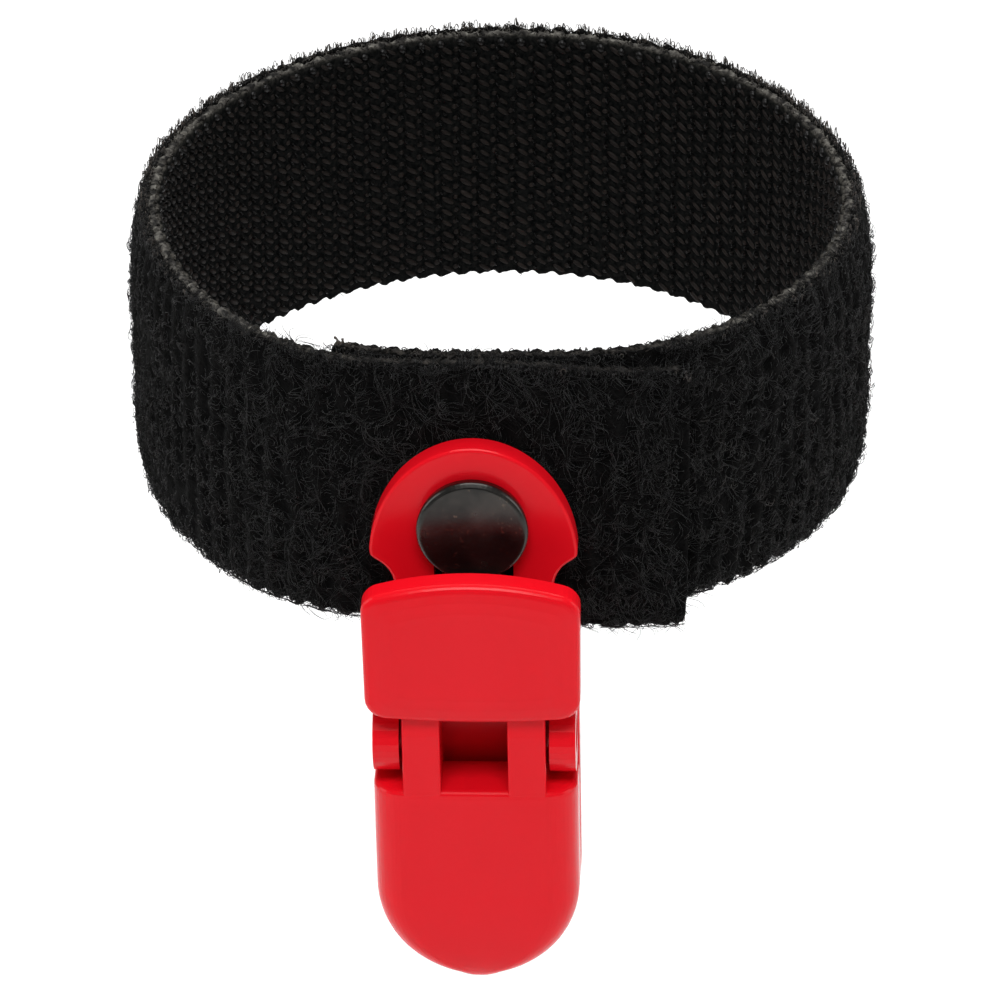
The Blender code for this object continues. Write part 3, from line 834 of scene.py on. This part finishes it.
def curls(name, start, end, density, height, spread=3.0):
    """Short curly fibres in small locks.

    density is per square millimetre, height scales the relief, spread is from upright, in radians.
    """
    copies = 3
    turn, z, row = scatter(start, end, density / copies)
    count = len(turn)
    length = in_locks(rng.uniform(0.8, 2.0, count) * MM, copies, 0.2 * MM)
    curl = 0.5 + 0.5 * min(1.0, spread)
    bend = in_locks(rng.uniform(3.0, 9.0, count) * curl * rng.choice([-1.0, 1.0], count), copies, 0.9)
    upright = rng.choice([-1.0, 1.0], count) * math.pi / 2
    heading = in_locks(upright + rng.normal(0, spread, count), copies, 0.3)
    across, up, share = wavy(7, np.abs(length), bend, heading, copies)
    turn = np.clip(in_locks(turn, copies, 0.30), start - 0.5, end + 0.5)
    z = np.clip(in_locks(z, copies, 0.17 * MM), -HALF_WIDTH, HALF_WIDTH)
    base, _ = pile_top(turn, z, height)
    full = fluff(turn, z)
    lift = in_locks(0.05 + 0.45 * rng.uniform(0, 1, count) ** 1.6, copies, 0.07) * MM
    lift = np.maximum(lift, 0.03 * MM) * (0.35 + 0.65 * np.minimum(full, 1.0)) * height
    lift = np.where(near_tab(turn, z), np.minimum(lift, 0.07 * MM), lift)
    depth = base[:, None] - 0.03 * MM + lift[:, None] * np.sin(math.pi * share) ** 0.6
    thick = rng.uniform(0.022, 0.038, len(turn)) * MM
    radii = thick[:, None] * (1.0 - 0.4 * np.abs(share * 2 - 1) ** 3)
    own_shade = 0.52 * rng.beta(1.5, 2.2, len(turn))
    # Each lock's own tone, lighter on the rows and darker in the grooves: painted shade in the grooves
    lock_tone_and_groove_shade = 0.30 * np.repeat(rng.beta(1.5, 2.0, count) + 0.7 * (row - 0.5), copies)
    shade = own_shade + lock_tone_and_groove_shade + 0.22 * (full - 0.85)
    return fibres_mesh(name, length_at(turn)[:, None] + across, depth, z[:, None] + up, radii, shade)


def long_hairs(name, start, end, density):
    """Longer wavy locks that run mostly up and down the rows of tufts."""
    copies = 4
    turn, z, row = scatter(start, end, density / copies)
    count = len(turn)
    length = in_locks(rng.uniform(1.8, 4.6, count) * MM, copies, 0.3 * MM)
    bend = in_locks(rng.uniform(0.6, 4.0, count) * rng.choice([-1.0, 1.0], count), copies, 0.4)
    heading = rng.choice([-1.0, 1.0], count) * (math.pi / 2 + rng.normal(0, 0.30, count))
    across, up, share = wavy(9, np.abs(length), bend, in_locks(heading, copies, 0.16), copies)
    turn = np.clip(in_locks(turn, copies, 0.16), start - 0.5, end)
    z = np.clip(in_locks(z, copies, 0.12 * MM), -HALF_WIDTH, HALF_WIDTH)
    along = length_at(turn)[:, None] + across
    path_z = z[:, None] + up
    base, _ = pile_top(turn_at(along), np.clip(path_z, -HALF_WIDTH, HALF_WIDTH), 1.0)
    lift = rng.uniform(0.03, 0.26, len(turn)) * MM
    lift = np.where(near_tab(turn, z), np.minimum(lift, 0.05 * MM), lift)
    depth = base + lift[:, None] * (0.4 + 0.6 * np.sin(math.pi * share))
    thick = rng.uniform(0.016, 0.027, len(turn)) * MM
    radii = thick[:, None] * (1.0 - 0.5 * np.abs(share * 2 - 1) ** 3)
    own_shade = 0.48 * rng.beta(1.5, 2.4, len(turn))
    # Each lock's own tone, lighter on the rows and darker in the grooves: painted shade in the grooves
    lock_tone_and_groove_shade = 0.25 * np.repeat(rng.beta(1.4, 2.2, count) + 0.6 * (row - 0.5), copies)
    shade = own_shade + lock_tone_and_groove_shade + 0.20 * (fluff(turn, z) - 0.85)
    return fibres_mesh(name, along, depth, path_z, radii, shade)


def rim_loops(name, start, end, per_metre):
    """Small loops above the upper edge of the pile, tallest at the back, and below its lower edge; painted
    lighter at the back, as if lit from behind.
    """
    count = int((length_at(end) - length_at(start)) * per_metre)
    along = rng.uniform(length_at(start), length_at(end), count)
    side = np.where(rng.uniform(0, 1, count) < 0.6, 1.0, -1.0)
    back = behind(turn_at(along)) * (side > 0)
    share = np.linspace(0, 1, 7)[None, :]
    bend = math.pi * rng.uniform(0.9, 1.5, count)[:, None] * share
    size = 0.06 + 0.20 * rng.uniform(0, 1, count)[:, None] ** 1.5
    radius = size * np.where(side > 0, 1.0, 0.6)[:, None] * MM
    way = rng.uniform(-1, 1, count)[:, None]
    height = radius * np.sin(bend) * (1.25 + 1.5 * back)[:, None]
    reach = radius * (1 - np.cos(bend))
    _, raised = pile_top(turn_at(along), side * HALF_WIDTH, 1.0)
    lump = 0.42 * MM * (raised - 0.25)[:, None] + 0.26 * MM * back[:, None]
    base = rng.uniform(1.10, np.where(side > 0, 2.0, 2.5), count)[:, None] * MM
    depth = base + reach * 0.5 * (1 - np.abs(way))
    z = side[:, None] * (HALF_WIDTH - 0.16 * MM + lump + height)
    paths = on_strap(turn_at(along[:, None] + reach * way), depth, z)
    radii = rng.uniform(0.028, 0.050, count)[:, None] * MM
    # Lighter at the back of the ring: painted light, as if lit from behind
    shade = np.clip(rng.beta(2.0, 2.2, count) + 0.40 * back, 0, 1)
    return tubes_mesh(name, paths, radii, FIBRE, "shade", shade)


def end_fringe(name, turn_of_end, count):
    """Frayed ends along the cut end of the tape."""
    z = rng.uniform(-HALF_WIDTH, HALF_WIDTH, count)
    length = rng.uniform(0.5, 1.8, count) * MM
    bend = rng.uniform(1.0, 6.0, count) * rng.choice([-1.0, 1.0], count)
    heading = rng.choice([-1.0, 1.0], count) * (math.pi / 2 + rng.normal(-0.15, 0.4, count))
    across, up, share = wavy(7, length, bend, heading, 1)
    along = length_at(turn_of_end) + rng.normal(-0.08, 0.07, count)[:, None] * MM + 0.3 * across
    depth = rng.uniform(1.1, 2.0, count)[:, None] * MM + 0.15 * MM * np.sin(math.pi * share)
    radii = rng.uniform(0.030, 0.050, count)[:, None] * MM
    shade = rng.beta(5.0, 1.3, count)
    return fibres_mesh(name, along, depth, z[:, None] + up, radii, shade)


def thread_nub(name):
    """A tag of melted thread that stands up at the inner end of the strap."""
    share = np.linspace(0, 1, 7)[None, :]
    starts = np.array([[0.25, 0.75], [0.45, 0.60], [0.95, 0.85], [0.60, 1.00]])
    tops = np.array([0.55, 0.45, 0.25, 0.35])[:, None]
    lean = np.array([-0.35, 0.20, 0.55, -0.10])[:, None]
    along = length_at(INNER_END) + (starts[:, :1] + lean * share + 0.08 * np.sin(5 * share)) * MM
    depth = (starts[:, 1:] + 0.05 * np.cos(4 * share)) * MM
    z = HALF_WIDTH + (-0.2 + (tops + 0.2) * np.sin(share * 1.75) ** 0.8) * MM
    radii = (0.15 - 0.05 * share + 0.03 * np.sin(9 * share)) * MM
    points, faces = tubes(on_strap(turn_at(along), depth, z), radii, 6)
    made = add_mesh(name, points, faces, FIBRE)
    set_values(made, "shade", np.full(len(points), 0.97))
    return made


# The strap, put together


def strap_length(prefix, start, end):
    """The hook tape and film of one length of the strap. Its loop tape is added later."""
    hook_tape = [
        hook_ground(prefix + "_hook_ground", start, end),
        weave(prefix + "_weave", start, end),
        selvage_knots(prefix + "_selvage_knots", start, end),
        hooks(prefix + "_hooks", start, end),
    ]
    bond_film = [
        film(prefix + "_film", start, end),
        rim_lint(prefix + "_rim_lint", start + 0.4, end - 0.4),
    ]
    return {"hook_tape": hook_tape, "bond_film": bond_film, "loop_tape": []}


def covered_strap():
    """The length under the lap, with its pile pressed flat."""
    made = strap_length("covered", INNER_END, COVERED_END)
    made["loop_tape"] = [
        loop_ground("covered_loop_ground", INNER_END, COVERED_END, 0.2),
        curls("covered_curls", INNER_END, COVERED_END, 1.0, 0.2),
        rim_loops("covered_rim_loops", INNER_END, COVERED_END, 9000),
    ]
    made["hook_tape"].append(thread_nub("thread_nub"))
    return made


def ring_strap():
    """The length that goes round the ring."""
    made = strap_length("ring", COVERED_END - 0.1, BEND_PIECE_START + 0.1)
    made["loop_tape"] = [
        loop_ground("ring_loop_ground", COVERED_END - 0.1, BEND_PIECE_START + 0.1, 1.0),
        rim_loops("ring_rim_loops", 29.2, BEND_PIECE_START, 20000),
        long_hairs("ring_hairs", 29.5, 75.0, 2.6),
    ]
    stops = (83.0, 137.0, 191.0, 245.0, BEND_PIECE_START)
    for i, (start, end) in enumerate(zip(stops, stops[1:])):
        made["loop_tape"].append(curls(f"ring_curls_{i}", start, end, CURL_DENSITY, 1.0))
    made["loop_tape"].append(curls("ring_curls_right", 29.2, stops[0], CURL_DENSITY, 1.0, 0.6))
    return made


def lap_strap():
    """The length that steps out over the ring and runs on past the hinge."""
    made = strap_length("lap", BEND_PIECE_START, LAP_END)
    made["loop_tape"] = [
        loop_ground("lap_loop_ground", BEND_PIECE_START, LAP_END, 1.0),
        curls("lap_curls_left", BEND_PIECE_START, STEP_END, CURL_DENSITY, 1.0),
        curls("lap_curls_front", STEP_END, LAP_END - 0.6, FRONT_CURL_DENSITY, 1.0, 0.5),
        long_hairs("lap_hairs", 318.0, LAP_END - 0.5, 3.6),
        rim_loops("lap_rim_loops", BEND_PIECE_START, LAP_END - 0.3, 13500),
        end_fringe("lap_fringe", LAP_END, 380),
    ]
    return made


def place_strap():
    """Puts the covered and ring lengths on the strap's body, leaves the lap's pieces where they are, and
    hides the CAD nodes of the strap.
    """
    covered = covered_strap()
    ring = ring_strap()
    lap = lap_strap()
    for length in (covered, ring):
        for layer, pieces in length.items():
            for piece in pieces:
                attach(piece, "strap")
    start = on_strap(BEND_FROM, LAMINATE, 0.0)
    end = on_strap(BEND_TO, LAMINATE, 0.0)
    for layer, pieces in lap.items():
        for piece in pieces:
            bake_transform(piece)
        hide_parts("lap_" + layer)
        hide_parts("strap_" + layer)


# Clip and rivet, as the CAD shapes them


def dress(node, material):
    """Gives a CAD node its material and its shading."""
    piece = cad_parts[node]
    piece.data.materials.clear()
    piece.data.materials.append(material)
    piece.data.shade_smooth()
    piece.data.set_sharp_from_angle(angle=math.radians(SHARP_EDGE))


def clip_place(u, v, w):
    """Points for arrays of u, v and w on the clip's own axes, or single values of them."""
    u, v, w = np.broadcast_arrays(u, v, w)
    lean = math.radians(-CLIP_LEAN)
    x = u * math.cos(lean) + v * math.sin(lean)
    z = v * math.cos(lean) - u * math.sin(lean)
    return np.stack([RIVET_X + x, -TAB_BACK - w, RIVET_Z + z], axis=-1)


def leaf_spring():
    """The bent strip behind the pad: a rear arm up from the plate, a bend and a front arm. It takes the
    place of the CAD's spring.
    """
    bend_v, bend_w, bend_radius = -13.95, 4.5, 1.55
    half, thick, edge = 2.45, 0.225, 0.07
    bend = np.radians(np.linspace(180, 360, 19))
    # The strip's middle line in millimetres: the rear arm up from the plate, the bend, and the front arm
    rear_v = [-5.8, -5.85, -6.05, -6.5, -7.4, -10.5]
    rear_w = [1.2, 2.1, 2.6, 2.88, 2.95, 2.95]
    v = np.concatenate([rear_v, bend_v + bend_radius * np.sin(bend), [-11.5, -8.5, -5.2]])
    w = np.concatenate([rear_w, bend_w + bend_radius * np.cos(bend), [6.05, 6.05, 6.05]])
    along = np.gradient(np.stack([v, w], axis=-1), axis=0)
    along /= np.linalg.norm(along, axis=1, keepdims=True)
    corners = [(-half, edge - thick), (-half, thick - edge), (edge - half, thick), (half - edge, thick)]
    corners += [(-u, -t) for u, t in corners]
    rings = [clip_place(u * MM, (v - t * along[:, 1]) * MM, (w + t * along[:, 0]) * MM) for u, t in corners]
    made = loft("leaf_spring_strip", np.stack(rings, axis=1), SPRING, sharp=SHARP_EDGE)
    start = clip_place(0.0, bend_v * MM, 3.3 * MM)
    end = clip_place(0.0, bend_v * MM, 5.9 * MM)
    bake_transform(made)
    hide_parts("leaf_spring")


def place_clip():
    for node in ("clip_back_moulding", "clip_front_moulding"):
        dress(node, RED)
    for node in ("rivet_cap", "rivet_post", "rivet_back_cap"):
        dress(node, BLACK_METAL)
    leaf_spring()


# Floor, light and camera


def add_floor():
    half = 3.0
    low = cad_box[0][2] - 60 * MM
    corners = [(-half, -half, low), (half, -half, low), (half, half, low), (-half, half, low)]
    floor = add_mesh("floor", corners, [np.array([[0, 1, 2, 3]])], floor_material(), smooth=False)


def aim_at(made, target):
    """Turns a lamp or camera towards a place."""
    made.rotation_euler = (Vector(target) - made.location).to_track_quat("-Z", "Y").to_euler()


def add_softbox(name, place, size, power):
    light = bpy.data.lights.new(name, "AREA")
    light.shape = "RECTANGLE"
    light.size, light.size_y = size
    light.energy = power
    made = bpy.data.objects.new(name, light)
    bpy.context.scene.collection.objects.link(made)
    made.location = place
    aim_at(made, (0, 0, -10 * MM))


def add_world():
    world = bpy.data.worlds.new("studio")
    bpy.context.scene.world = world
    world.use_nodes = True
    background = world.node_tree.nodes["Background"]
    background.inputs["Color"].default_value = (1.0, 1.0, 1.0, 1.0)
    background.inputs["Strength"].default_value = 0.25


def add_camera():
    distance = 0.62
    up = math.radians(29.0)
    around = math.radians(2.5)
    camera = bpy.data.cameras.new("camera")
    camera.lens = 243.3
    camera.sensor_width = 36.0
    camera.clip_start = 0.01
    made = bpy.data.objects.new("camera", camera)
    bpy.context.scene.collection.objects.link(made)
    flat = distance * math.cos(up)
    made.location = (flat * math.sin(around), -flat * math.cos(around), distance * math.sin(up))
    aim_at(made, (0, 0, -19.4 * MM))
    bpy.context.scene.camera = made


place_strap()
place_clip()
add_floor()
add_softbox("overhead", (0.0, 0.25, 0.70), (0.6, 0.35), 4.6)
add_softbox("front", (0.0, -0.50, 0.80), (0.55, 0.28), 7.2)
add_softbox("left", (-0.80, -0.10, 0.25), (0.4, 0.5), 2.0)
add_softbox("right", (0.80, -0.10, 0.25), (0.4, 0.5), 1.6)
add_world()
add_camera()
bpy.context.scene.view_settings.view_transform = "Standard"
bpy.context.scene.view_settings.look = "None"
